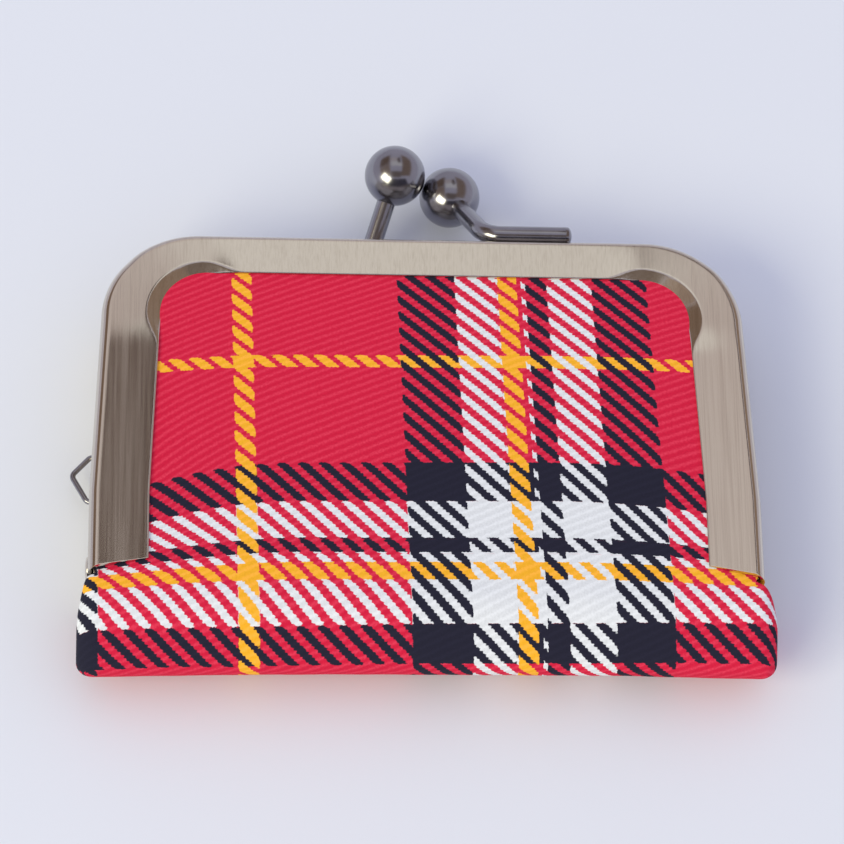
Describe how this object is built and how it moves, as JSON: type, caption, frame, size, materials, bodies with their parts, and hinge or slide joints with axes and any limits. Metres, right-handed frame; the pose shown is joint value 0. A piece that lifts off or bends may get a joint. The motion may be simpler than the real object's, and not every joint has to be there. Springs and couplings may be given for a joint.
{
  "type": "pouch",
  "caption": "Small flat clasp-frame pouch with tartan panels, two hinged metal frame halves and a folded fabric bottom, lying on its back.",
  "frame": {"origin": "bottom centre of the whole object, on the plane of the rear frame's back face that it lies on", "axes": "+X across the pouch, +Y from the bag's folded bottom towards the clasp balls, +Z out of the front panel"},
  "size_m": [0.082, 0.0708, 0.012],
  "materials": {
    "frame_metal": "satin nickel, slightly warm",
    "clasp_metal": "polished dark nickel",
    "tartan_cloth": "printed tartan, matte",
    "board": "grey board, matte",
    "lining_cloth": "plain black, matte",
    "interlining": "white felted interlining",
    "paper_cord": "twisted paper"
  },
  "bodies": {
    "rear_half": {"rear_frame": "frame_metal", "hinge_rivet_left": "frame_metal", "hinge_rivet_right": "frame_metal", "clasp_wire_rear": "clasp_metal", "clasp_ball_rear": "clasp_metal", "side_loop": "clasp_metal", "back_cover": "tartan_cloth", "back_board": "board", "back_lining": "lining_cloth", "rear_paper_cord": "paper_cord", "bottom_cover": "tartan_cloth", "bottom_interlining": "interlining", "bottom_lining": "lining_cloth"},
    "front_half": {"front_frame": "frame_metal", "clasp_wire_front": "clasp_metal", "clasp_ball_front": "clasp_metal", "front_cover": "tartan_cloth", "front_board": "board", "front_lining": "lining_cloth", "front_paper_cord": "paper_cord"}
  },
  "joints": [
    {"name": "frame_hinge", "type": "hinge", "parent": "rear_half", "child": "front_half", "pos_m": [0, -0.02262, 0.006], "axis": [1, 0, 0], "range_deg": [0, 75]}
  ]
}
